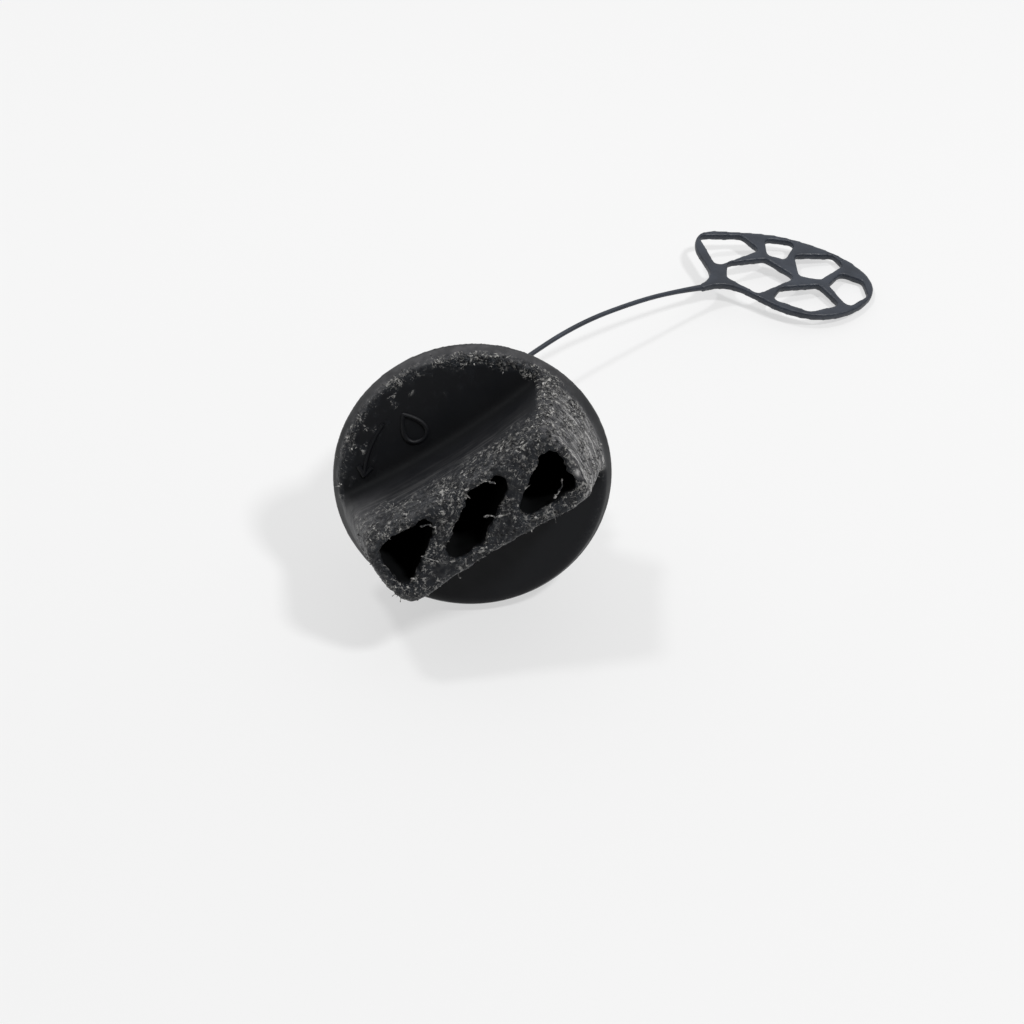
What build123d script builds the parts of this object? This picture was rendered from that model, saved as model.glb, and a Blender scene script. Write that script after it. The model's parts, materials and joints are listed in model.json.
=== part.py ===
"""Screw-in oil tank cap of a power tool, lying on its side on a table.

A round knob with a cored grip bar, a hollow threaded spigot behind it, a seal ring under the knob,
and a thin moulded tether that swivels in the spigot and ends in a flat retainer net.
The cap is modelled upright in its own frame, thread axis on Z and sealing face at z = 0, and then
laid down so that the knob's rim and the spigot's end both touch the table.
"""

import os
from math import atan2, cos, degrees, pi, radians, sin, tan

from build123d import *

# Driving dimensions, in millimetres and degrees

# Knob and its rim
knob_diameter = 36.0
rim_height = 2.8
rim_band = 1.0
rim_taper = 0.9

# Grip bar across the knob
grip_height = 15.0
grip_angle = 31.0
grip_waist = 10.0
grip_draft = 7.0
grip_end_draft = 12.5
flank_radius = 110.0
flank_foot_radius = 0.8
grip_edge_radius = 0.5

# Cored pockets in the grip bar and the two webs between them
pocket_depth = 11.0
pocket_width = 7.0
pocket_end_wall = 1.3
pocket_draft = 1.0
pocket_corner_radius = 1.3
web_thickness = 2.1
web_angle = 35.0
web_spacing = 10.8

# Spigot, its thread and the seat of the seal ring
spigot_length = 13.0
spigot_wall = 1.9
neck_diameter = 24.8
neck_length = 3.4
thread_diameter = 27.0
thread_length = 7.2
thread_pitch = 3.0
thread_root_width = 2.0
thread_crest_width = 0.8
thread_sink = 0.5
crown_thickness = 2.0
seat_depth = 0.6

# Seal ring
ring_section = 2.6
ring_clearance = 0.03

# Boss inside the spigot with the socket that holds the tether's head
boss_diameter = 8.4
boss_length = 6.2
socket_diameter = 4.6
socket_depth = 4.2
socket_lip = 1.0
swivel_clearance = 0.2

# Tether anchor: a domed head, a neck through the socket's lip, a collar and a tapering tail
anchor_head_length = 2.6
anchor_dome_radius = 1.2
anchor_neck_diameter = 2.6
anchor_collar_diameter = 5.0
anchor_collar_length = 0.9
anchor_tail_length = 5.0

# Tether, a thin round strand: the points of its route after the anchor's tail, as it lies
tether_diameter = 0.7
bend_share = 0.45
tether_route = [
    (0.0, 17.6, 9.2),
    (2.2, 25.0, 7.9),
    (7.8, 31.6, 7.5),
    (16.7, 38.9, 7.8),
    (26.0, 44.7, 6.6),
    (32.2, 48.4, 4.9),
]

# Retainer net, a flat oval lattice that leans down to the table: its edge from stem back to stem
net_joint = (38.1, 51.8, 3.5)
net_lean = 6.85
net_thickness = 1.2
net_edge = [
    (-2.8, -1.3),
    (-0.9, 1.6),
    (-2.4, 7.4),
    (-1.5, 10.2),
    (3.5, 11.2),
    (9.5, 11.0),
    (16.3, 8.8),
    (21.4, 5.2),
    (23.7, 0.1),
    (21.2, -4.2),
    (14.0, -7.0),
    (8.0, -5.1),
    (2.6, -1.5),
    (-2.3, -2.2),
]
tether_bite = 0.4

# The net's cells: the corners of each, before they are rounded
net_cell_radius = 0.8
net_cells = [
    [(-1.7, 9.9), (4.9, 10.4), (7.4, 7.3), (0.3, 3.1)],
    [(8.5, 10.0), (13.2, 9.6), (11.0, 5.4), (8.4, 6.3)],
    [(1.6, 0.6), (2.1, 3.9), (8.0, 5.3), (12.1, 1.4), (5.9, -2.7)],
    [(12.6, 6.6), (18.6, 7.0), (19.8, 4.8), (15.8, 1.3), (12.7, 1.8)],
    [(16.9, 0.1), (19.2, 2.9), (22.3, 1.5), (22.6, -1.8), (19.2, -4.6)],
    [(7.9, -3.7), (9.5, -1.1), (15.4, 0.0), (18.0, -4.3), (13.2, -6.1)],
]

# Sizes that follow from the driving dimensions
knob_radius = knob_diameter / 2
lip_radius = knob_radius - rim_taper
grip_rise = grip_height - rim_height
grip_top_radius = lip_radius - grip_rise * tan(radians(grip_end_draft))
flank_foot_offset = grip_rise * tan(radians(grip_draft))
pocket_reach = grip_top_radius - pocket_end_wall
neck_radius = neck_diameter / 2
thread_radius = thread_diameter / 2
thread_end = neck_length + thread_length
thread_rise = thread_length - thread_root_width
thread_height = thread_radius - neck_radius
ring_radius = neck_radius + ring_clearance + ring_section / 2
seat_radius = ring_radius + ring_section / 2 + ring_clearance
cavity_radius = neck_radius - spigot_wall
cavity_roof = rim_height - crown_thickness
boss_radius = boss_diameter / 2
boss_end = cavity_roof - boss_length
socket_radius = socket_diameter / 2
socket_floor = boss_end + socket_lip
anchor_neck_radius = anchor_neck_diameter / 2
lip_bore_radius = anchor_neck_radius + swivel_clearance
anchor_head_radius = socket_radius - swivel_clearance
anchor_collar_radius = anchor_collar_diameter / 2
tether_radius = tether_diameter / 2

# Tool for one finger scoop: a wide shallow cone, rounded where it meets the scoop's floor
with BuildPart() as scoop:
    with Locations((0, 0, rim_height)):
        Cone(
            flank_radius - flank_foot_offset,
            flank_radius,
            grip_rise,
            align=(Align.CENTER, Align.CENTER, Align.MIN),
        )
    fillet(scoop.edges().sort_by(Axis.Z)[0], flank_foot_radius)

# Thread: one ridge swept along a helix, sunk a little into the spigot's wall
with BuildPart() as thread_ridge:
    with BuildLine() as thread_path:
        Helix(thread_pitch, thread_rise, neck_radius, center=(0, 0, thread_root_width / 2 - thread_end))
    with BuildSketch(Plane(thread_path.line @ 0, x_dir=(1, 0, 0), z_dir=thread_path.line % 0)):
        with BuildLine():
            Polyline(
                (-thread_sink, thread_root_width / 2),
                (0, thread_root_width / 2),
                (thread_height, thread_crest_width / 2),
                (thread_height, -thread_crest_width / 2),
                (0, -thread_root_width / 2),
                (-thread_sink, -thread_root_width / 2),
                close=True,
            )
        make_face()
    sweep(path=thread_path.line, is_frenet=True)

with BuildPart() as cap_body:
    # Knob, spigot, boss and socket in one turned section
    with BuildSketch(Plane.XZ):
        with BuildLine():
            Polyline(
                (0, grip_height),
                (grip_top_radius, grip_height),
                (lip_radius, rim_height),
                (knob_radius, rim_band),
                (knob_radius, 0),
                (seat_radius, 0),
                (seat_radius, seat_depth),
                (neck_radius, seat_depth),
                (neck_radius, -spigot_length),
                (cavity_radius, -spigot_length),
                (cavity_radius, cavity_roof),
                (boss_radius, cavity_roof),
                (boss_radius, boss_end),
                (lip_bore_radius, boss_end),
                (lip_bore_radius, socket_floor),
                (socket_radius, socket_floor),
                (socket_radius, socket_floor + socket_depth),
                (0, socket_floor + socket_depth),
                close=True,
            )
        make_face()
    revolve(axis=Axis.Z)
    add(thread_ridge.part)

    # Finger scoops on both sides leave the grip bar standing
    with PolarLocations(grip_waist / 2 + flank_radius, 2, grip_angle + 90):
        add(scoop.part, mode=Mode.SUBTRACT)

    # Ease the edge around the bar's top
    fillet(cap_body.faces().sort_by(Axis.Z)[-1].outer_wire().edges(), grip_edge_radius)

    # Cored pockets with two slanted webs left between them, grown out to round their corners
    with BuildSketch(Plane.XY.offset(grip_height)):
        Circle(pocket_reach - pocket_corner_radius)
        Rectangle(
            2 * pocket_reach,
            pocket_width - 2 * pocket_corner_radius,
            rotation=grip_angle,
            mode=Mode.INTERSECT,
        )
        with PolarLocations(web_spacing / 2, 2, grip_angle):
            Rectangle(
                2 * pocket_reach,
                web_thickness + 2 * pocket_corner_radius,
                rotation=web_angle,
                mode=Mode.SUBTRACT,
            )
        offset(amount=pocket_corner_radius)
    extrude(amount=-pocket_depth, taper=pocket_draft, mode=Mode.SUBTRACT)

with BuildPart() as seal_ring:
    with Locations((0, 0, seat_depth - ring_clearance - ring_section / 2)):
        Torus(ring_radius, ring_section / 2)

anchor_shoulder = socket_floor + swivel_clearance
anchor_collar_top = boss_end - swivel_clearance
anchor_collar_end = anchor_collar_top - anchor_collar_length
anchor_end = anchor_collar_end - anchor_tail_length
with BuildPart() as tether_anchor:
    with BuildSketch(Plane.XZ) as anchor_section:
        with BuildLine():
            Polyline(
                (0, anchor_shoulder + anchor_head_length),
                (anchor_head_radius, anchor_shoulder + anchor_head_length),
                (anchor_head_radius, anchor_shoulder),
                (anchor_neck_radius, anchor_shoulder),
                (anchor_neck_radius, anchor_collar_top),
                (anchor_collar_radius, anchor_collar_top),
                (anchor_collar_radius, anchor_collar_end),
                (anchor_neck_radius, anchor_collar_end),
                (tether_radius, anchor_end),
                (0, anchor_end),
                close=True,
            )
        make_face()
        head_corner = anchor_section.vertices().group_by(Axis.Y)[-1].sort_by(Axis.X)[-1]
        fillet(head_corner, anchor_dome_radius)
    revolve(axis=Axis.Z)

# Lay the cap down: rim and spigot end touch the table, box centred over the origin
lean = degrees(atan2(knob_radius - neck_radius, spigot_length))
cap_axis = (0, -cos(radians(lean)), sin(radians(lean)))
leaning_box = cap_body.part.moved(Plane((0, 0, 0), (1, 0, 0), cap_axis).location).bounding_box()
seat_centre = (-leaning_box.center().X, -leaning_box.center().Y, -leaning_box.min.Z)
seat_plane = Plane(seat_centre, (1, 0, 0), cap_axis)
for piece in (cap_body, seal_ring, tether_anchor):
    piece.part.move(seat_plane.location)

# Net plane: its X axis runs down to the table, its Z axis is the net's upper face
net_fall = radians(net_lean)
net_plane = Plane(net_joint, (cos(net_fall), 0, -sin(net_fall)), (sin(net_fall), 0, cos(net_fall)))

with BuildPart() as retainer_net:
    with BuildSketch(net_plane):
        with BuildLine():
            Spline(*net_edge)
            Line(net_edge[-1], net_edge[0])
        make_face()
        for corners in net_cells:
            with BuildSketch(mode=Mode.PRIVATE) as cell:
                Polygon(*corners, align=None)
                fillet(cell.vertices(), net_cell_radius)
            add(cell.sketch, mode=Mode.SUBTRACT)
    extrude(amount=net_thickness / 2, both=True)

# Tether path: straight runs joined by arcs as large as the shorter run beside each turn allows
anchor_tip = seat_plane.from_local_coords(Vector(0, 0, anchor_end))
stem_face = (Vector(*net_edge[0]) + Vector(*net_edge[-1])) / 2
stem_end = net_plane.from_local_coords(stem_face)
tether_end = stem_end + (Vector(*net_joint) - stem_end).normalized() * tether_bite
tether_points = [anchor_tip, *[Vector(*point) for point in tether_route], tether_end]
bend_radii = []
for before, here, after in zip(tether_points, tether_points[1:], tether_points[2:]):
    half_turn = radians((here - before).get_angle(after - here)) / 2
    shorter_run = min((here - before).length, (after - here).length)
    bend_radii.append(bend_share * shorter_run / tan(half_turn))
print("Tether bend radii:", [round(radius, 1) for radius in bend_radii])

with BuildPart() as tether_cord:
    with BuildLine() as tether_path:
        FilletPolyline(*tether_points, radius=bend_radii)
    with BuildSketch(Plane(anchor_tip, z_dir=tether_path.line % 0)):
        Circle(tether_radius)
    sweep(path=tether_path.line)
tether_length = tether_path.wire().length
print("Tether length:", round(tether_length, 1))
print("Tether volume:", tether_cord.part.volume, "section by length:", tether_length * pi * tether_radius**2)

os.makedirs("parts", exist_ok=True)

cap_body.part.label = "cap_body"
export_step(cap_body.part, "parts/cap_body.step")

seal_ring.part.label = "seal_ring"
export_step(seal_ring.part, "parts/seal_ring.step")

tether_anchor.part.label = "tether_anchor"
export_step(tether_anchor.part, "parts/tether_anchor.step")

tether_cord.part.label = "tether_cord"
export_step(tether_cord.part, "parts/tether_cord.step")

retainer_net.part.label = "retainer_net"
export_step(retainer_net.part, "parts/retainer_net.step")
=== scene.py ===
"""Look of a worn oil tank cap: a black moulded knob with a chewed grip bar, its tether and its net."""

import json
from math import cos, pi, radians, sin, tan

import bmesh
import bpy
import numpy as np
from mathutils import Matrix, Vector, noise


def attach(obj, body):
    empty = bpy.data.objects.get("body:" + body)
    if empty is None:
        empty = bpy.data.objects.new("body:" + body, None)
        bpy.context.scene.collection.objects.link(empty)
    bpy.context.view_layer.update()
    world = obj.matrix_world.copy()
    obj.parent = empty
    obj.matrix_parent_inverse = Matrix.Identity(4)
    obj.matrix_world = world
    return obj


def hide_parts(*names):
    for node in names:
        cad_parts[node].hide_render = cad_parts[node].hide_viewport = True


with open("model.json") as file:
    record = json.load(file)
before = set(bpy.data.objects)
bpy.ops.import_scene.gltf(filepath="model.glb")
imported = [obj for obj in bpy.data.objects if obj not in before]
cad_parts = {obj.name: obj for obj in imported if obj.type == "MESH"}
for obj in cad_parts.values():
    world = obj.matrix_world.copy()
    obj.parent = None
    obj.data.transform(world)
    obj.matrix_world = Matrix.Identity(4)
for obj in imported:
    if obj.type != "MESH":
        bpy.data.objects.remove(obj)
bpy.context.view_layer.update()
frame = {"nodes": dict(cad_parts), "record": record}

MM = 0.001
SEED = 11

# Cap sizes in its own frame, in millimetres: thread axis on Z, sealing face at z = 0, grip bar along X
LIP_RADIUS = 17.1
RIM_HEIGHT = 2.8
GRIP_ANGLE = radians(31.0)
GRIP_HEIGHT = 15.0
GRIP_WAIST = 10.0
GRIP_DRAFT = radians(7.0)
GRIP_END_DRAFT = radians(12.5)
FLANK_RADIUS = 110.0
POCKET_WIDTH = 7.0
POCKET_REACH = 13.1
POCKET_FLOOR = 4.0
WEB_THICKNESS = 2.1
WEB_ANGLE = radians(35.0)
WEB_SPACING = 10.8

# Patches of the bar's top that stayed smooth: centre, size and share of the scuffs lost
SMOOTH_SPOTS = [
    ((8.0, 4.6), (2.6, 1.0), 0.8),
    ((5.2, 1.2), (1.6, 1.6), 0.6),
    ((-8.0, -3.4), (2.4, 1.1), 0.7),
    ((3.2, -2.6), (1.3, 0.9), 0.6),
]

# Middle of the web whose edges stayed crisp
CRISP_WEB = (6.4, 0.6)

# Mesh grain of the worn cap and of the net, in millimetres
CAP_VOXEL = 0.33
NET_VOXEL = 0.22

# Smoothing of both after they are rebuilt: share of the way to the neighbours' mean, and rounds
SMOOTHING = 0.5
CAP_ROUNDS = 2
NET_ROUNDS = 6

# Reach of the cap's finer mesh: below the bar's top, in from its ends, in from the lip and about its height
FINE_TOP = 2.2
FINE_END = 1.0
FINE_LIP = 2.2
FINE_BAND = 0.6

# Strength of the scuffs, against 1 on the bar's top and right end
LEFT_END_SCUFFS = 0.65
UPPER_FLANK_SCUFFS = 0.85
LOWER_FLANK_SCUFFS = 0.6
LIP_LIGHT_SCUFFS = 0.7
SCOOP_SCUFFS = 0.55

# How pale the plastic is painted, against 1 on the right end: rubbed, with painted sheen and highlights
LEFT_END_SHEEN = 0.42
RIM_SHEEN = 0.8
FLANK_SHEEN = 0.29
CORNER_HIGHLIGHT = 0.75

# Painted shade along the foot of the flanks, against 1 in the pockets
FOOT_PAINTED_SHADE = 0.6

# Easing of the bar's upright corners and of its upper long edge: strength, and how often it is repeated
UPRIGHT_EASE = 0.6
RIDGE_EASE = 0.55
EASE_ROUNDS = 45

# Depths of the chewed surface, in millimetres: even and patchy loss, ridges, grain, coarse and fine tears
EVEN_LOSS = 0.08
PATCHY_LOSS = 0.25
RIDGE_DEPTH = 0.17
GRAIN_DEPTH = 0.20
COARSE_TEAR = 0.5
FINE_TEAR = 0.18

# Slivers of torn plastic: number, longest length and widths in millimetres, depth as a share of the width
SLIVER_COUNT = 1700
SLIVER_LONGEST = 1.0
SLIVER_WIDTHS = (0.10, 0.26)
SLIVER_DEPTH = 0.5
SLIVER_FACES = [(0, 1, 4, 3), (1, 2, 5, 4), (2, 0, 3, 5), (3, 4, 6), (4, 5, 6), (5, 3, 6), (2, 1, 0)]

# Strength of the scratches along the upper flank, against 1 on the right end
FLANK_STREAKS = 0.09

# Torn burrs on the bar's top: thickness and route in the bar's frame, in millimetres
BURRS = [
    (0.17, [(3.9, -1.7, 14.9), (2.9, -1.4, 15.1), (1.9, -0.8, 15.1), (0.9, -0.1, 14.9)]),
    (0.13, [(-6.4, 3.0, 14.9), (-5.4, 2.7, 15.1), (-4.8, 2.0, 15.1), (-5.3, 1.2, 14.9)]),
    (0.15, [(9.4, -3.0, 14.8), (10.3, -2.6, 15.0), (11.2, -2.0, 14.9), (11.6, -1.2, 14.8)]),
    (0.11, [(-8.5, -0.5, 14.8), (-7.4, -1.9, 15.0), (-6.4, -2.9, 15.0), (-5.2, -3.3, 14.9)]),
    (0.14, [(0.8, 3.9, 14.8), (2.0, 4.2, 15.0), (3.4, 3.8, 15.0), (4.5, 2.8, 14.9)]),
    (0.06, [(8.2, -5.2, 14.5), (8.0, -5.7, 14.4), (7.8, -6.1, 14.4)]),
    (0.05, [(-6.0, -5.1, 14.6), (-6.2, -5.5, 14.5), (-6.1, -5.9, 14.4)]),
    (0.05, [(-14.0, -3.1, 14.3), (-14.4, -3.2, 14.4), (-14.7, -3.2, 14.3)]),
    (0.05, [(-13.8, -4.0, 14.3), (-14.1, -4.3, 14.2), (-14.3, -4.6, 14.1)]),
]

# Raised oil drop on the floor of the upper scoop, and a turning arrow beside it
DROP_CENTRE = (-2.4, 10.6)
DROP_SIZE = (1.9, 2.1)
ARROW_RADIUS = 14.0
ARROW_ANGLES = (112.0, 143.0)
ARROW_HEAD = 1.3
BEAD = 0.3

# Tether: the anchor's tip, the route's points and the stem of the net, in millimetres in the row frame
TETHER_DIAMETER = 0.7
STEM_SWELL = 1.35
TETHER_ROUTE = [
    (0.0, 11.279, 11.982),
    (0.0, 17.6, 9.2),
    (2.2, 25.0, 7.9),
    (7.8, 31.6, 7.5),
    (16.7, 38.9, 7.8),
    (26.0, 44.7, 6.6),
    (32.2, 48.4, 4.9),
    (35.895, 50.276, 3.765),
]

# Colours of the cap's plastic, with painted sheen, glints and shade among them
BLACK_PLASTIC = (0.0052, 0.0058, 0.0076)
SCUFFED_PLASTIC = (0.017, 0.020, 0.025)
# Rubbed plastic, and painted sheen and highlights
RUBBED_PLASTIC_AND_SHEEN = (0.080, 0.079, 0.083)
# Scratches, painted pale with their glints
SCRATCHES_AND_GLINTS = (0.55, 0.54, 0.53)
# Torn plastic whitened by strain, with its glints painted pale
TORN_PLASTIC_AND_GLINTS = (0.50, 0.49, 0.47)
# Painted shade for the pockets and the foot of the flanks
PAINTED_SHADE_BLACK = (0.0042, 0.0046, 0.0050)

# Colours of the tether's plastic and of the seal's rubber, each with its paler drift
TETHER_BLACK = (0.020, 0.025, 0.036)
TETHER_PALE = (0.034, 0.042, 0.058)
RUBBER_BLACK = (0.008, 0.008, 0.008)
RUBBER_PALE = (0.014, 0.013, 0.012)

# Camera, in millimetres and degrees in the row frame
CAMERA_PLACE = (-7.7, -231.3, 249.6)
CAMERA_PITCH = 45.97
CAMERA_YAW = 3.16
CAMERA_LENS = 89.45
CAMERA_SENSOR = 36.0

# Table: half its width in metres, its two pale tones and the size of their drift in millimetres
TABLE_HALF = 0.9
TABLE_TONES = ((0.79, 0.79, 0.79), (0.81, 0.81, 0.81))
TABLE_DRIFT = 60.0

# Share of a plain light tone in the table as it is seen, which keeps its shadows faint; the tone in front of
# the cap and behind it, a painted fall-off of light that is dimmer in front, and the stretch along Y, in
# metres, over which it changes
TABLE_LIFT = 0.60
TABLE_STRETCH = (-0.06, 0.10)
TABLE_NEAR_SHADED = (0.95, 0.95, 0.95)
TABLE_FAR_LIT = (1.0, 1.0, 1.0)

# Room light in front of the cap and behind it, the lean over which it changes, and the share of height in it
ROOM_DIM = 0.06
ROOM_BRIGHT = 0.9
ROOM_LEAN = (-0.2, 0.7)
ROOM_RISE = 0.2

# Lamps: distance and size in metres; compass direction and height in degrees, power in watts
LAMP_DISTANCE = 0.7
LAMP_SIZE = 0.09
LAMPS = {
    "lamp_right": (-27.0, 60.0, 2.5),
    "lamp_left": (149.0, 68.5, 1.45),
}


def smoothstep(low, high, value):
    t = np.clip((value - low) / (high - low), 0.0, 1.0)
    return t * t * (3.0 - 2.0 * t)


def noise_at(points, size, offset):
    """Seeded gradient noise, about -1 to 1, with lumps of the given size in millimetres."""
    shift = Vector((offset, SEED, -offset))
    return np.array([noise.noise(Vector(p) / size + shift) for p in points])


def link(name, data):
    obj = bpy.data.objects.new(name, data)
    bpy.context.scene.collection.objects.link(obj)
    return obj


# The cap's own frame, from the record's sealing face


def bar_frame():
    """Matrix from the bar's frame in millimetres to the row frame in metres."""
    face = next(m for m in frame["record"]["mounts"] if m["name"] == "sealing_face")
    axis = -Vector(face["axis"]).normalized()
    level = Vector((1, 0, 0))
    rise = axis.cross(level)
    along = level * cos(GRIP_ANGLE) + rise * sin(GRIP_ANGLE)
    across = rise * cos(GRIP_ANGLE) - level * sin(GRIP_ANGLE)
    matrix = Matrix((along, across, axis)).transposed().to_4x4()
    matrix.translation = Vector((0, face["pos_m"][1], face["pos_m"][2]))
    return matrix @ Matrix.Scale(MM, 4)


BAR = bar_frame()
TO_BAR = BAR.inverted()


# Mesh helpers


def voxel_copy(node, to_local, voxel):
    """A copy of a CAD node in local millimetres, rebuilt in even quads."""
    mesh = frame["nodes"][node].data.copy()
    mesh.transform(to_local)
    holder = link("voxel_source", mesh)
    grid = holder.modifiers.new("voxels", "REMESH")
    grid.mode = "VOXEL"
    grid.voxel_size = voxel
    depsgraph = bpy.context.evaluated_depsgraph_get()
    result = bpy.data.meshes.new_from_object(holder.evaluated_get(depsgraph))
    bpy.data.objects.remove(holder)
    return result


def coords(mesh):
    flat = np.empty(len(mesh.vertices) * 3, np.float32)
    mesh.vertices.foreach_get("co", flat)
    return flat.reshape(-1, 3).astype(float)


def set_coords(mesh, points):
    mesh.vertices.foreach_set("co", points.astype(np.float32).ravel())
    mesh.update()


def normals(mesh):
    flat = np.empty(len(mesh.vertices) * 3, np.float32)
    mesh.vertices.foreach_get("normal", flat)
    return flat.reshape(-1, 3).astype(float)


def edge_pairs(mesh):
    flat = np.empty(len(mesh.edges) * 2, np.int32)
    mesh.edges.foreach_get("vertices", flat)
    return flat.reshape(-1, 2)


def neighbour_mean(values, pairs):
    total = np.zeros_like(values)
    count = np.zeros(len(values))
    for a, b in ((0, 1), (1, 0)):
        np.add.at(total, pairs[:, a], values[pairs[:, b]])
        np.add.at(count, pairs[:, a], 1.0)
    count = np.maximum(count, 1.0)
    return total / (count[:, None] if values.ndim == 2 else count)


def relax(points, pairs, weight, rounds):
    """Smooth the points towards their neighbours, by a weight for each."""
    for _ in range(rounds):
        points = points + weight[:, None] * (neighbour_mean(points, pairs) - points)
    return points


def refine(mesh, wanted):
    """Split each face whose centre is wanted into four."""
    bm = bmesh.new()
    bm.from_mesh(mesh)
    edges = {e for f in bm.faces if wanted(f.calc_center_median()) for e in f.edges}
    bmesh.ops.subdivide_edges(bm, edges=list(edges), cuts=1, use_grid_fill=True)
    bm.to_mesh(mesh)
    bm.free()


def add_attribute(mesh, name, values):
    """Store a number or a vector for each vertex."""
    kind, key = ("FLOAT_VECTOR", "vector") if values.ndim == 2 else ("FLOAT", "value")
    layer = mesh.attributes.new(name, kind, "POINT")
    layer.data.foreach_set(key, values.astype(np.float32).ravel())


# Shape of the grip, in the bar's frame


def end_radius(z):
    return LIP_RADIUS - (z - RIM_HEIGHT) * tan(GRIP_END_DRAFT)


def flank_half_width(u, z):
    radius = FLANK_RADIUS - (GRIP_HEIGHT - z) * tan(GRIP_DRAFT)
    return GRIP_WAIST / 2 + FLANK_RADIUS - np.sqrt(radius**2 - u**2)


def past_end(points):
    """How far each point lies outside the bar's round ends."""
    u, w, z = points.T
    return np.hypot(u, w) - end_radius(z)


def past_flank(points):
    """How far each point lies outside the flank on its side of the bar."""
    u, w, z = points.T
    return np.abs(w) - flank_half_width(u, z)


def inside_lip(points):
    """How far each point lies inside the rim's lip."""
    u, w, _ = points.T
    return LIP_RADIUS - np.hypot(u, w)


def turn_angle(points):
    """Angle of each point round the axis in degrees, 0 at the bar's right end."""
    u, w, _ = points.T
    return np.degrees(np.arctan2(w, u))


def pocket_distance(u, w):
    """Distance to the pockets' outlines at the bar's top, below zero inside a pocket."""
    distance = np.maximum(np.abs(w) - POCKET_WIDTH / 2, np.hypot(u, w) - POCKET_REACH)
    for side in (-1, 1):
        offset = (u - side * WEB_SPACING / 2) * sin(WEB_ANGLE) - w * cos(WEB_ANGLE)
        distance = np.maximum(distance, WEB_THICKNESS / 2 - np.abs(offset))
    return distance


def worn_zone(centre):
    """Whether a face of the cap is in a scuffed region, which gets a finer mesh."""
    u, w, z = centre
    radius = (u * u + w * w) ** 0.5
    top = z > GRIP_HEIGHT - FINE_TOP
    end = z > RIM_HEIGHT + 0.5 and radius > end_radius(z) - FINE_END and u > 0
    at_lip = RIM_HEIGHT - FINE_BAND < z < RIM_HEIGHT + FINE_BAND
    return top or end or (at_lip and radius > LIP_RADIUS - FINE_LIP and w > 4)


def spot(u, w, centre, size):
    """A soft oval patch, 1 at its centre."""
    return np.exp(-(((u - centre[0]) / size[0]) ** 2) - ((w - centre[1]) / size[1]) ** 2)


def top_wear(points):
    """Scuffs on the bar's top, less on the patches that stayed smooth."""
    u, w, z = points.T
    patches = 0.5 + 0.5 * noise_at(points, 4.5, 3.1)
    wear = smoothstep(GRIP_HEIGHT - 1.6, GRIP_HEIGHT - 0.5, z) * (0.6 + 0.4 * patches)
    for centre, size, share in SMOOTH_SPOTS:
        wear *= 1.0 - share * spot(u, w, centre, size)
    return wear


def end_wear(points):
    """Scuffs on the bar's two ends: all of the right one, the upper part of the left one."""
    u, w, z = points.T
    near = smoothstep(1.6, 0.4, np.abs(past_end(points)))
    near *= smoothstep(RIM_HEIGHT - 0.6, RIM_HEIGHT + 0.8, z)
    right = smoothstep(4.0, 8.0, u) * (0.62 + 0.38 * smoothstep(-3.0, 3.5, w))
    left = LEFT_END_SCUFFS * smoothstep(-4.0, -8.0, u) * smoothstep(4.0, 13.0, z)
    return near * np.maximum(right, left)


def flank_wear(points):
    """Scuffs on the flanks below the bar's long edges, wide on the upper one."""
    _, w, z = points.T
    near = smoothstep(1.8, 0.5, np.abs(past_flank(points)))
    upper = UPPER_FLANK_SCUFFS * smoothstep(7.5, 13.5, z + 1.2 * noise_at(points, 2.5, 9.0))
    lower = LOWER_FLANK_SCUFFS * smoothstep(GRIP_HEIGHT - 1.6, GRIP_HEIGHT - 0.3, z)
    return near * np.where(w > 0, upper, lower)


def lip_wear(points):
    """A ragged band of nicks along the rim's lip above the upper scoop, heaviest to the right."""
    angle = turn_angle(points)
    heavy = smoothstep(8.0, 24.0, angle) * smoothstep(100.0, 62.0, angle)
    light = LIP_LIGHT_SCUFFS * smoothstep(30.0, 60.0, angle) * smoothstep(168.0, 128.0, angle)
    share = np.maximum(heavy, light)
    width = 0.7 + 1.4 * share + 1.2 * noise_at(points, 1.7, 15.0)
    inward = inside_lip(points)
    band = smoothstep(1.0, 0.3, inward / np.maximum(width, 0.3)) * smoothstep(-0.8, -0.2, inward)
    return band * share * smoothstep(1.2, 0.4, np.abs(points[:, 2] - RIM_HEIGHT))


def floor_wear(points):
    """Sparse nicks on the floor of the upper scoop, near the rim on the left and at the top."""
    _, w, z = points.T
    nicks = smoothstep(0.10, 0.45, noise_at(points, 1.0, 44.0)) * smoothstep(7.5, 1.0, inside_lip(points))
    nicks = SCOOP_SCUFFS * nicks * smoothstep(40.0, 75.0, turn_angle(points))
    return nicks * smoothstep(0.5, 0.2, np.abs(z - RIM_HEIGHT)) * (w > 7)


def edge_share(points):
    """How near each point is to the bar's edges or to a pocket's mouth, 0 to 1."""
    u, w, _ = points.T
    offsets = [past_flank(points), past_end(points), pocket_distance(u, w)]
    return smoothstep(1.6, 0.3, np.abs(offsets).min(axis=0))


def wear_map(points):
    """How scuffed each point is, 0 to 1, with the pockets' insides left clean."""
    u, w, z = points.T
    kinds = (top_wear, end_wear, flank_wear, lip_wear, floor_wear)
    wear = np.maximum.reduce([kind(points) for kind in kinds])
    inside = smoothstep(0.2, -0.3, pocket_distance(u, w))
    inside *= smoothstep(GRIP_HEIGHT - 0.5, GRIP_HEIGHT - 1.4, z)
    return np.clip(wear * (1.0 - inside), 0.0, 1.0)


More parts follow.
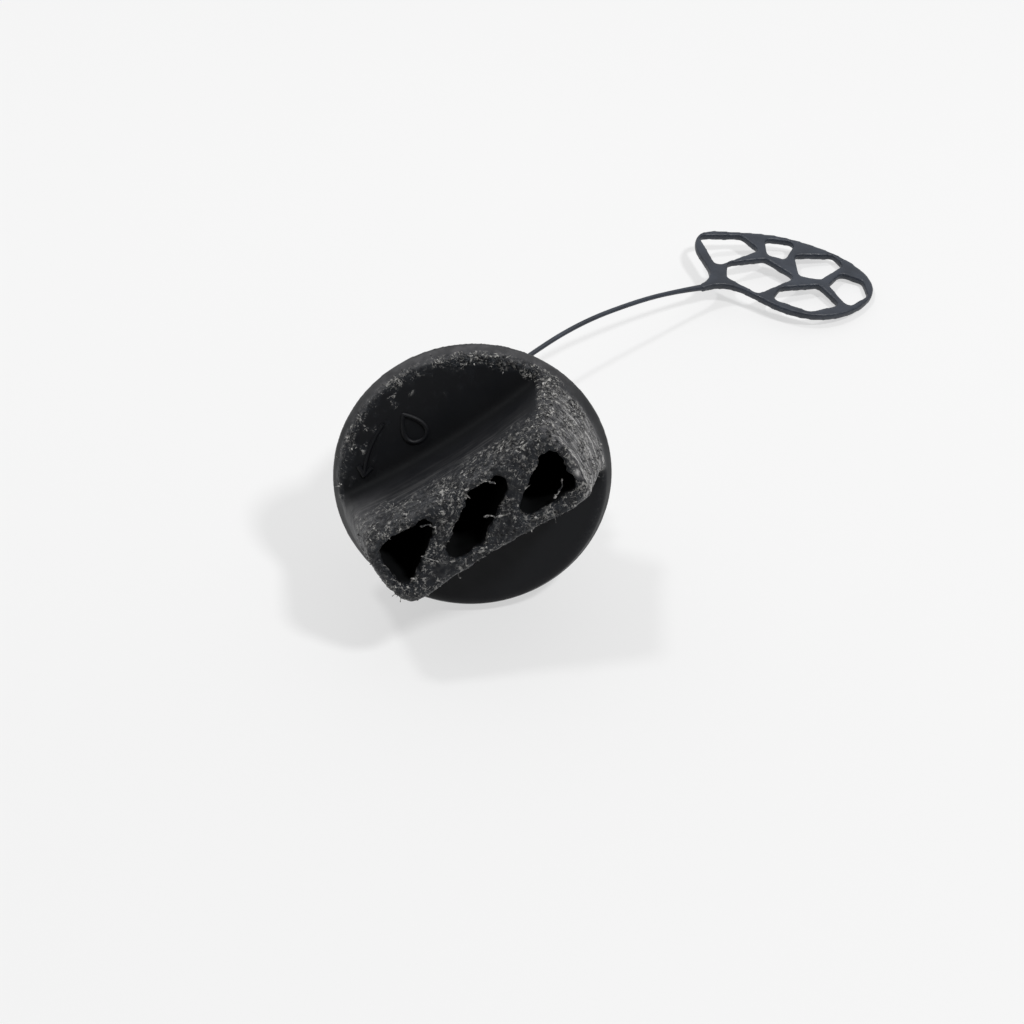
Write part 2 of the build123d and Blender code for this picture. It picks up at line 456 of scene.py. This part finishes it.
def rub_and_sheen_map(points):
    """How far each point is painted pale, 0 to 1: rubbed plastic with painted sheen on the ends and the
    rim's top, painted light on the upper flank's top and a painted highlight at the left corner.
    """
    u, w, z = points.T
    angle = turn_angle(points)
    near_end = smoothstep(1.3, 0.4, np.abs(past_end(points)))
    near_end *= smoothstep(RIM_HEIGHT, RIM_HEIGHT + 0.8, z)
    # Rubbed plastic with painted sheen on the right end, painted sheen on the left end
    right = near_end * smoothstep(7.0, 11.0, u)
    left = LEFT_END_SHEEN * near_end * smoothstep(-8.0, -11.0, u)
    # Painted sheen on the rim's top, painted light on the upper flank's top, a painted highlight at the left
    # corner
    rim = smoothstep(LIP_RADIUS - 0.4, LIP_RADIUS + 0.1, np.hypot(u, w)) * smoothstep(0.5, 1.2, z)
    rim *= RIM_SHEEN * smoothstep(-5.0, 35.0, angle) * smoothstep(150.0, 85.0, angle)
    near_flank = smoothstep(1.6, 0.4, np.abs(past_flank(points))) * (w > 0)
    flank = FLANK_SHEEN * near_flank * smoothstep(4.5, 13.5, z)
    corner = CORNER_HIGHLIGHT * spot(u, w, (-13.5, 6.0), (4.0, 1.8)) * smoothstep(3.0, 9.0, z)
    return np.clip(np.maximum.reduce([right, left, rim, flank, corner]), 0.0, 1.0)


def on_flank(points):
    """1 on the upper flank, 0 away from it."""
    u, w, z = points.T
    near = smoothstep(1.4, 0.5, np.abs(past_flank(points))) * (w > 0)
    return near * smoothstep(13.0, 10.5, u) * (z > RIM_HEIGHT + 0.6)


def streak_map(points):
    """Where there are long scratches: round the axis low on the right end, faint along the upper flank."""
    u, w, z = points.T
    right = smoothstep(1.3, 0.4, np.abs(past_end(points))) * smoothstep(9.0, 12.0, u)
    right *= smoothstep(6.0, 1.5, w) * smoothstep(RIM_HEIGHT, RIM_HEIGHT + 1.0, z)
    return np.maximum(right, FLANK_STREAKS * on_flank(points) * smoothstep(4.5, 11.0, z))


def painted_shade_map(points):
    """Where shade is painted: in the pockets and along the foot of the flanks."""
    u, w, z = points.T
    below = smoothstep(GRIP_HEIGHT - 0.3, GRIP_HEIGHT - 1.5, z)
    pockets = below * smoothstep(0.5, 0.1, pocket_distance(u, w)) * (z > POCKET_FLOOR - 0.5)
    foot = FOOT_PAINTED_SHADE * smoothstep(3.2, 0.3, np.hypot(past_flank(points), z - RIM_HEIGHT))
    foot *= inside_lip(points) > 0.5
    return np.clip(np.maximum(pockets, foot * (z > RIM_HEIGHT - 0.3)), 0.0, 1.0)


def arc_map(points):
    """Coordinates in metres that run with the scratches and across them."""
    u, w, z = points.T
    along = np.where(on_flank(points) > 0.0, u, np.arctan2(w, u) * LIP_RADIUS)
    return np.column_stack([along, z, np.zeros(len(u))]) * MM


def rounded_edges(points, pairs):
    """Ease the bar's upright corners and its upper long edge, as years of gripping have."""
    u, w, z = points.T
    side = past_flank(points)
    corner = np.hypot(side, past_end(points))
    upright = UPRIGHT_EASE * smoothstep(2.6, 0.7, corner) * smoothstep(RIM_HEIGHT + 0.3, RIM_HEIGHT + 2.5, z)
    ridge = RIDGE_EASE * smoothstep(2.6, 0.8, np.hypot(side, GRIP_HEIGHT - z)) * (w > 0)
    clear = smoothstep(0.3, 1.0, pocket_distance(u, w))
    return relax(points, pairs, np.maximum(upright, ridge) * clear, EASE_ROUNDS)


def chewed(mesh, points, wear):
    """Push the scuffed surface in and out, and tear the pockets' mouths."""
    facing = normals(mesh)
    u, w, z = points.T
    coarse = noise_at(points, 1.7, 21.0)
    ridges = 1.0 - 2.0 * np.abs(noise_at(points, 1.1, 37.0))
    fine = noise_at(points, 0.42, 53.0)
    clumps = smoothstep(-0.25, 0.35, noise_at(points, 2.8, 61.0))
    loss = wear * (EVEN_LOSS + PATCHY_LOSS * np.maximum(coarse, 0.0))
    grain = wear * (0.15 + 0.85 * clumps) * (RIDGE_DEPTH * ridges + GRAIN_DEPTH * fine)
    mouth = smoothstep(1.1, 0.2, np.abs(pocket_distance(u, w)))
    mouth *= smoothstep(GRIP_HEIGHT - 2.0, GRIP_HEIGHT - 0.4, z)
    mouth *= 1.0 - 0.8 * spot(u, w, CRISP_WEB, (2.2, 3.0))
    tear = mouth * (COARSE_TEAR * noise_at(points, 1.6, 71.0) + FINE_TEAR * noise_at(points, 0.6, 83.0))
    return points + facing * (grain + tear - loss)[:, None]


# Materials


def material(name):
    mat = bpy.data.materials.new(name)
    mat.use_nodes = True
    mat.node_tree.nodes.clear()
    output = mat.node_tree.nodes.new("ShaderNodeOutputMaterial")
    shader = mat.node_tree.nodes.new("ShaderNodeBsdfPrincipled")
    mat.node_tree.links.new(shader.outputs[0], output.inputs["Surface"])
    return mat, mat.node_tree, shader


def add_node(tree, kind, **values):
    """A new node; values set its properties, or its sockets where the name is a socket's."""
    made = tree.nodes.new(kind)
    for key, value in values.items():
        if hasattr(made, key):
            setattr(made, key, value)
        else:
            made.inputs[key.replace("_", " ")].default_value = value
    return made


def noise_node(tree, vector, size_mm, detail=3.0, roughness=0.6):
    scale = 1.0 / (size_mm * MM)
    made = add_node(tree, "ShaderNodeTexNoise", Scale=scale, Detail=detail, Roughness=roughness)
    tree.links.new(vector, made.inputs["Vector"])
    return made.outputs["Fac"]


def math_node(tree, operation, a, b=0.5):
    made = tree.nodes.new("ShaderNodeMath")
    made.operation = operation
    for socket, value in zip(made.inputs, (a, b)):
        if isinstance(value, (int, float)):
            socket.default_value = value
        else:
            tree.links.new(value, socket)
    return made.outputs[0]


def ramp(tree, value, low, high, to_low=0.0, to_high=1.0):
    made = add_node(tree, "ShaderNodeMapRange", interpolation_type="SMOOTHSTEP")
    tree.links.new(value, made.inputs["Value"])
    for key, number in zip(("From Min", "From Max", "To Min", "To Max"), (low, high, to_low, to_high)):
        made.inputs[key].default_value = number
    return made.outputs[0]


def mix_colour(tree, factor, a, b):
    made = add_node(tree, "ShaderNodeMix", data_type="RGBA")
    tree.links.new(factor, made.inputs[0])
    for socket, value in ((made.inputs[6], a), (made.inputs[7], b)):
        if isinstance(value, tuple):
            socket.default_value = (*value, 1.0)
        else:
            tree.links.new(value, socket)
    return made.outputs[2]


def bump(tree, height, distance_mm, strength=1.0, normal=None):
    made = add_node(tree, "ShaderNodeBump", Strength=strength, Distance=distance_mm * MM)
    tree.links.new(height, made.inputs["Height"])
    if normal is not None:
        tree.links.new(normal, made.inputs["Normal"])
    return made.outputs[0]


def object_vector(tree):
    return tree.nodes.new("ShaderNodeTexCoord").outputs["Object"]


def stretched(tree, vector, sizes_mm):
    """A vector scaled so that a noise of size 1 on it has lumps of these sizes."""
    made = add_node(tree, "ShaderNodeVectorMath", operation="MULTIPLY")
    tree.links.new(vector, made.inputs[0])
    made.inputs[1].default_value = [1.0 / (size * MM) for size in sizes_mm]
    return made.outputs[0]


def attribute(tree, name, output="Fac"):
    return add_node(tree, "ShaderNodeAttribute", attribute_name=name).outputs[output]


def times(tree, *factors):
    """The product of several values."""
    product = factors[0]
    for factor in factors[1:]:
        product = math_node(tree, "MULTIPLY", product, factor)
    return product


def fibre_lines(tree, place):
    """Short curled lines, as torn fibres make: where a twisting noise crosses its middle."""
    curls = add_node(tree, "ShaderNodeTexNoise", Scale=1.0 / (1.0 * MM), Detail=2.0, Distortion=1.2)
    tree.links.new(place, curls.inputs["Vector"])
    away = math_node(tree, "ABSOLUTE", math_node(tree, "SUBTRACT", curls.outputs["Fac"], 0.5))
    lines = ramp(tree, away, 0.0, 0.085, 1.0, 0.0)
    return times(tree, lines, ramp(tree, noise_node(tree, place, 0.7), 0.47, 0.60))


def scratches(tree):
    """Long scratches, round the axis on the right end and along the upper flank, painted pale with their
    glints.
    """
    arc = attribute(tree, "arc", "Vector")
    coarse = noise_node(tree, stretched(tree, arc, (9.0, 0.42, 1.0)), 1.0 / MM, 2.0)
    fine = noise_node(tree, stretched(tree, arc, (5.0, 0.2, 1.0)), 1.0 / MM, 2.0)
    lines = math_node(tree, "MAXIMUM", ramp(tree, coarse, 0.50, 0.66), ramp(tree, fine, 0.55, 0.70))
    return times(tree, lines, attribute(tree, "streak"))


def scuffed_colour(tree, place, wear, painted_shade):
    """The plastic's colour: black, paler where it is rubbed and where sheen is painted, with scratches,
    nicks, pale torn fibres, painted glints and painted shade.
    """
    blotches = ramp(tree, noise_node(tree, place, 1.4, 4.0), 0.3, 0.7, 0.45, 1.0)
    colour = mix_colour(tree, wear, BLACK_PLASTIC, SCUFFED_PLASTIC)
    # Rubbed plastic, and painted sheen and highlights on the ends, the rim's top and the upper flank
    colour = mix_colour(tree, times(tree, attribute(tree, "rub_and_sheen"), blotches), colour, RUBBED_PLASTIC_AND_SHEEN)
    # Scratches, painted pale with their glints
    colour = mix_colour(tree, scratches(tree), colour, SCRATCHES_AND_GLINTS)
    nicks = times(tree, ramp(tree, noise_node(tree, place, 1.1, 4.0, 0.7), 0.47, 0.58), wear)
    colour = mix_colour(tree, nicks, colour, BLACK_PLASTIC)
    # Painted shade in the pockets and along the foot of the flanks
    colour = mix_colour(tree, painted_shade, colour, PAINTED_SHADE_BLACK)
    clumps = ramp(tree, noise_node(tree, place, 3.6, 3.0), 0.42, 0.58, 0.14, 1.0)
    fibres = times(tree, fibre_lines(tree, place), clumps, ramp(tree, wear, 0.15, 0.6))
    grains = ramp(tree, noise_node(tree, place, 0.34, 2.0), 0.60, 0.72)
    specks = times(tree, grains, clumps, ramp(tree, wear, 0.2, 0.7), 0.8)
    # Pale torn plastic, with its glints painted in
    pale = math_node(tree, "MAXIMUM", fibres, specks)
    return mix_colour(tree, pale, colour, TORN_PLASTIC_AND_GLINTS), pale


def cap_material():
    """Black moulded plastic, matt where whole, rubbed pale and torn where the grip is worn, with painted
    sheen, glints and shade.
    """
    mat, tree, shader = material("cap_plastic_worn")
    place = object_vector(tree)
    wear = attribute(tree, "wear")
    painted_shade = attribute(tree, "painted_shade")
    colour, pale = scuffed_colour(tree, place, wear, painted_shade)
    tree.links.new(colour, shader.inputs["Base Color"])
    # Painted shade also dulls the sheen there: less specular and rougher
    tree.links.new(ramp(tree, painted_shade, 0.0, 1.0, 0.30, 0.12), shader.inputs["Specular IOR Level"])
    drift = ramp(tree, noise_node(tree, place, 3.0), 0.3, 0.7, -0.05, 0.05)
    rough = math_node(tree, "ADD", ramp(tree, wear, 0.0, 1.0, 0.52, 0.33), drift)
    tree.links.new(math_node(tree, "ADD", rough, times(tree, painted_shade, 0.3)), shader.inputs["Roughness"])
    grain = bump(tree, noise_node(tree, place, 0.5), 0.02, 0.25)
    torn = times(tree, math_node(tree, "ADD", noise_node(tree, place, 0.4, 4.0, 0.7), pale), wear)
    tree.links.new(bump(tree, torn, 0.3, 1.0, grain), shader.inputs["Normal"])
    return mat


def flake_material():
    """Torn slivers of the same plastic, whitened by strain, with their glints painted pale."""
    mat, tree, shader = material("torn_slivers")
    place = object_vector(tree)
    share = ramp(tree, noise_node(tree, place, 0.6), 0.42, 0.7)
    tree.links.new(mix_colour(tree, share, BLACK_PLASTIC, TORN_PLASTIC_AND_GLINTS), shader.inputs["Base Color"])
    rough = ramp(tree, noise_node(tree, place, 0.3), 0.3, 0.7, 0.35, 0.6)
    tree.links.new(rough, shader.inputs["Roughness"])
    return mat


def plain_material(name, colour, lighter, rough, grain_mm):
    """A finish with a slow drift of colour and a fine grain."""
    mat, tree, shader = material(name)
    place = object_vector(tree)
    drift = ramp(tree, noise_node(tree, place, 5.0), 0.3, 0.7)
    tree.links.new(mix_colour(tree, drift, colour, lighter), shader.inputs["Base Color"])
    fine = noise_node(tree, place, grain_mm)
    tree.links.new(ramp(tree, fine, 0.3, 0.7, rough - 0.06, rough + 0.08), shader.inputs["Roughness"])
    tree.links.new(bump(tree, fine, 0.03, 0.3), shader.inputs["Normal"])
    return mat


# Pieces


def place_in_row(mesh, name, body, mat, smooth=True):
    """Move a mesh from the bar's frame to the row frame and let it ride on a body."""
    mesh.transform(BAR)
    if smooth:
        mesh.shade_smooth()
    else:
        mesh.shade_flat()
    mesh.materials.clear()
    mesh.materials.append(mat)
    obj = link(name, mesh)
    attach(obj, body)
    return obj


def worn_cap(mat, torn_mat):
    """The cap with eased edges and chewed, torn places, and the slivers that stand on it."""
    mesh = voxel_copy("cap_body", TO_BAR, CAP_VOXEL)
    pairs = edge_pairs(mesh)
    points = coords(mesh)
    points = relax(points, pairs, np.full(len(points), SMOOTHING), CAP_ROUNDS)
    set_coords(mesh, rounded_edges(points, pairs))
    refine(mesh, worn_zone)
    points = coords(mesh)
    wear = wear_map(points)
    set_coords(mesh, chewed(mesh, points, wear))
    add_attribute(mesh, "wear", wear)
    # Rubbed plastic, and painted sheen and highlights
    add_attribute(mesh, "rub_and_sheen", rub_and_sheen_map(points))
    add_attribute(mesh, "streak", streak_map(points))
    # Painted shade in the pockets and along the foot of the flanks
    add_attribute(mesh, "painted_shade", painted_shade_map(points))
    add_attribute(mesh, "arc", arc_map(points))
    torn_slivers(mesh, wear, torn_mat)
    obj = place_in_row(mesh, "worn_cap", "cap", mat)
    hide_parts("cap_body")


def bead(name, routes, mat, closed=False):
    """Rounded beads of plastic on the cap; a route is a list of thickness and point in the bar's frame."""
    curve = bpy.data.curves.new(name, "CURVE")
    curve.dimensions = "3D"
    curve.bevel_depth = 1.0
    curve.bevel_resolution = 2
    curve.use_fill_caps = True
    for route in routes:
        spline = curve.splines.new("POLY")
        spline.points.add(len(route) - 1)
        for point, (thickness, place) in zip(spline.points, route):
            point.co = (*(BAR @ Vector(place)), 1.0)
            point.radius = thickness * MM
        spline.use_cyclic_u = closed
    curve.materials.append(mat)
    obj = link(name, curve)
    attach(obj, "cap")


def ragged(route, thickness):
    """A burr's route cut finer, with uneven bends and thickness."""
    rng = np.random.default_rng(SEED)
    steps = np.linspace(0, len(route) - 1, 4 * len(route))
    fine = np.column_stack([np.interp(steps, range(len(route)), axis) for axis in zip(*route)])
    fine += rng.normal(0.0, 0.5 * thickness, fine.shape)
    sizes = thickness * rng.uniform(0.4, 1.3, len(fine))
    return [(size, tuple(place)) for size, place in zip(sizes, fine)]


def drop_outline():
    """A drop with its tip towards the rim."""
    turns = np.linspace(0.0, 2 * pi, 40, endpoint=False)
    across = DROP_CENTRE[0] + DROP_SIZE[0] * np.sin(turns) * np.sin(turns / 2)
    up = DROP_CENTRE[1] + DROP_SIZE[1] * np.cos(turns)
    return [(BEAD, (u, w, RIM_HEIGHT)) for u, w in zip(across, up)]


def on_arc(radius, angle):
    return BEAD, (radius * cos(radians(angle)), radius * sin(radians(angle)), RIM_HEIGHT)


def arrow_lines():
    """The arrow's shaft and the two strokes of its head."""
    start, end = ARROW_ANGLES
    shaft = [on_arc(ARROW_RADIUS, angle) for angle in np.linspace(start, end, 12)]
    back = end - np.degrees(ARROW_HEAD / ARROW_RADIUS)
    strokes = [[shaft[-1], on_arc(ARROW_RADIUS + side * ARROW_HEAD * 0.7, back)] for side in (-1, 1)]
    return [shaft, *strokes]


def sliver(base, along, facing, length, width, lift, curl):
    """Seven corners of a thin torn strip that rises off the surface and narrows to a tip."""
    side = np.cross(facing, along) * width / 2
    under = facing * width * SLIVER_DEPTH
    middle = base + (along * cos(lift) + facing * sin(lift)) * length * 0.5
    tip = middle + (along * cos(lift + curl) + facing * sin(lift + curl)) * length * 0.5
    root = [base - side, base + side, base - under]
    return root + [middle - side * 0.8, middle + side * 0.8, middle - under * 0.8, tip]


def sliver_chance(points, wear):
    """Chance of a sliver at each point: in clumps, most near edges, none inside the pockets."""
    u, w, _ = points.T
    clumps = smoothstep(-0.1, 0.5, noise_at(points, 1.5, 91.0))
    clumps *= smoothstep(-0.4, 0.3, noise_at(points, 4.0, 97.0))
    chance = (wear > 0.3) * wear**2 * (0.05 + clumps) * smoothstep(0.0, 0.3, pocket_distance(u, w))
    chance *= 0.25 + 0.75 * edge_share(points)
    return chance / chance.sum()


def torn_slivers(cap_mesh, wear, mat):
    """Small slivers of torn plastic where the cap is most scuffed."""
    rng = np.random.default_rng(SEED)
    points = coords(cap_mesh)
    facing = normals(cap_mesh)
    chosen = rng.choice(len(points), SLIVER_COUNT, p=sliver_chance(points, wear))
    corners, faces = [], []
    for index in chosen:
        normal = facing[index]
        along = np.cross(normal, rng.normal(size=3))
        along /= np.linalg.norm(along)
        length = min(rng.lognormal(-0.95, 0.4), SLIVER_LONGEST)
        width = rng.uniform(*SLIVER_WIDTHS)
        first = len(corners)
        lift = rng.uniform(0.0, 0.4)
        corners += sliver(points[index], along, normal, length, width, lift, rng.normal(0.0, 0.5))
        faces += [tuple(first + corner for corner in face) for face in SLIVER_FACES]
    mesh = bpy.data.meshes.new("torn_slivers")
    mesh.from_pydata([tuple(c) for c in corners], [], faces)
    place_in_row(mesh, "torn_slivers", "cap", mat, smooth=False)


def tether():
    """The strand as one smooth line from the anchor's tail to the net's stem."""
    curve = bpy.data.curves.new("tether_strand", "CURVE")
    curve.dimensions = "3D"
    curve.bevel_depth = 1.0
    curve.bevel_resolution = 6
    curve.resolution_u = 24
    curve.use_fill_caps = True
    spline = curve.splines.new("NURBS")
    spline.points.add(len(TETHER_ROUTE) - 1)
    for point, place in zip(spline.points, TETHER_ROUTE):
        point.co = (*(v * MM for v in place), 1.0)
        point.radius = TETHER_DIAMETER * MM / 2
    spline.points[-1].radius *= STEM_SWELL
    spline.order_u = 3
    spline.use_endpoint_u = True
    obj = link("tether_strand", curve)
    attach(obj, "tether")
    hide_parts("tether_cord")
    return obj


def rounded_net(mat):
    """The net with the soft, round-edged ribs of a moulded lattice."""
    mesh = voxel_copy("retainer_net", Matrix.Scale(1 / MM, 4), NET_VOXEL)
    points = coords(mesh)
    points = relax(points, edge_pairs(mesh), np.full(len(points), SMOOTHING), NET_ROUNDS)
    set_coords(mesh, points)
    mesh.transform(Matrix.Scale(MM, 4))
    mesh.shade_smooth()
    mesh.materials.clear()
    mesh.materials.append(mat)
    obj = link("rounded_net", mesh)
    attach(obj, "tether")
    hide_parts("retainer_net")
    return obj


# Stage


def camera():
    data = bpy.data.cameras.new("camera")
    data.lens = CAMERA_LENS
    data.sensor_width = CAMERA_SENSOR
    obj = link("camera", data)
    obj.location = Vector(CAMERA_PLACE) * MM
    obj.rotation_euler = (radians(90 - CAMERA_PITCH), 0, radians(-CAMERA_YAW))
    bpy.context.scene.camera = obj


def table_material():
    """A pale finish, lifted towards white where it is seen, with the cap's shadows kept and a painted
    fall-off of light, dimmer in front of the cap.
    """
    mat, tree, shader = material("pale_table")
    place = object_vector(tree)
    colour = mix_colour(tree, noise_node(tree, place, TABLE_DRIFT), *TABLE_TONES)
    tree.links.new(colour, shader.inputs["Base Color"])
    shader.inputs["Roughness"].default_value = 0.8
    shader.inputs["Specular IOR Level"].default_value = 0.0
    path = tree.nodes.new("ShaderNodeLightPath").outputs
    seen = math_node(tree, "ADD", path["Is Camera Ray"], path["Is Glossy Ray"])
    seen = math_node(tree, "MINIMUM", math_node(tree, "ADD", seen, path["Is Transmission Ray"]), 1.0)
    white = add_node(tree, "ShaderNodeEmission", Strength=1.0)
    away = add_node(tree, "ShaderNodeSeparateXYZ")
    tree.links.new(place, away.inputs[0])
    # Painted fall-off of light: the lift is dimmer in front of the cap than behind it
    shade = mix_colour(tree, ramp(tree, away.outputs["Y"], *TABLE_STRETCH), TABLE_NEAR_SHADED, TABLE_FAR_LIT)
    tree.links.new(shade, white.inputs["Color"])
    blend = tree.nodes.new("ShaderNodeMixShader")
    tree.links.new(times(tree, seen, TABLE_LIFT), blend.inputs[0])
    tree.links.new(shader.outputs[0], blend.inputs[1])
    tree.links.new(white.outputs[0], blend.inputs[2])
    tree.links.new(blend.outputs[0], tree.get_output_node("ALL").inputs["Surface"])
    return mat


def floor():
    """A plain flat table."""
    mesh = bpy.data.meshes.new("floor")
    corners = [(x * TABLE_HALF, y * TABLE_HALF, 0) for x, y in ((-1, -1), (1, -1), (1, 1), (-1, 1))]
    mesh.from_pydata(corners, [], [(0, 1, 2, 3)])
    mesh.materials.append(table_material())
    link("floor", mesh)


def lamp(name, azimuth, elevation, power):
    """An area lamp that faces the cap from a compass direction, azimuth 0 at +X and 90 at +Y."""
    data = bpy.data.lights.new(name, "AREA")
    data.shape = "DISK"
    data.size = LAMP_SIZE
    data.energy = power
    obj = link(name, data)
    compass = radians(azimuth)
    flat = cos(radians(elevation))
    direction = Vector((flat * cos(compass), flat * sin(compass), sin(radians(elevation))))
    obj.location = direction * LAMP_DISTANCE
    obj.rotation_euler = direction.to_track_quat("Z", "Y").to_euler()


def room_light():
    """A room that is bright above and behind the cap and dark in front of it."""
    world = bpy.data.worlds.new("room")
    bpy.context.scene.world = world
    world.use_nodes = True
    tree = world.node_tree
    tree.nodes.clear()
    output = tree.nodes.new("ShaderNodeOutputWorld")
    background = tree.nodes.new("ShaderNodeBackground")
    tree.links.new(background.outputs[0], output.inputs["Surface"])
    direction = add_node(tree, "ShaderNodeSeparateXYZ")
    tree.links.new(tree.nodes.new("ShaderNodeTexCoord").outputs["Generated"], direction.inputs[0])
    rise = math_node(tree, "MULTIPLY", direction.outputs["Z"], ROOM_RISE)
    lean = math_node(tree, "ADD", direction.outputs["Y"], rise)
    strength = ramp(tree, lean, *ROOM_LEAN, ROOM_DIM, ROOM_BRIGHT)
    tree.links.new(strength, background.inputs["Strength"])


def dress_nodes():
    """Finish the CAD nodes that show as they are; gives the tether's material."""
    black = plain_material("tether_satin", TETHER_BLACK, TETHER_PALE, 0.45, 0.6)
    rubber = plain_material("seal_rubber", RUBBER_BLACK, RUBBER_PALE, 0.5, 0.4)
    for obj, mat in ((frame["nodes"]["tether_anchor"], black), (frame["nodes"]["seal_ring"], rubber)):
        obj.data.materials.clear()
        obj.data.materials.append(mat)
    return black


black_plastic = cap_material()
torn_plastic = flake_material()
tether_plastic = dress_nodes()
worn_cap(black_plastic, torn_plastic)
bead("torn_burrs", [ragged(route, thickness) for thickness, route in BURRS], torn_plastic)
bead("drop_sign", [drop_outline()], black_plastic, closed=True)
bead("turning_arrow", arrow_lines(), black_plastic)
strand = tether()
net = rounded_net(tether_plastic)
strand.data.materials.append(tether_plastic)
floor()
camera()
room_light()
for lamp_name, aim in LAMPS.items():
    lamp(lamp_name, *aim)
bpy.context.scene.view_settings.view_transform = "Standard"
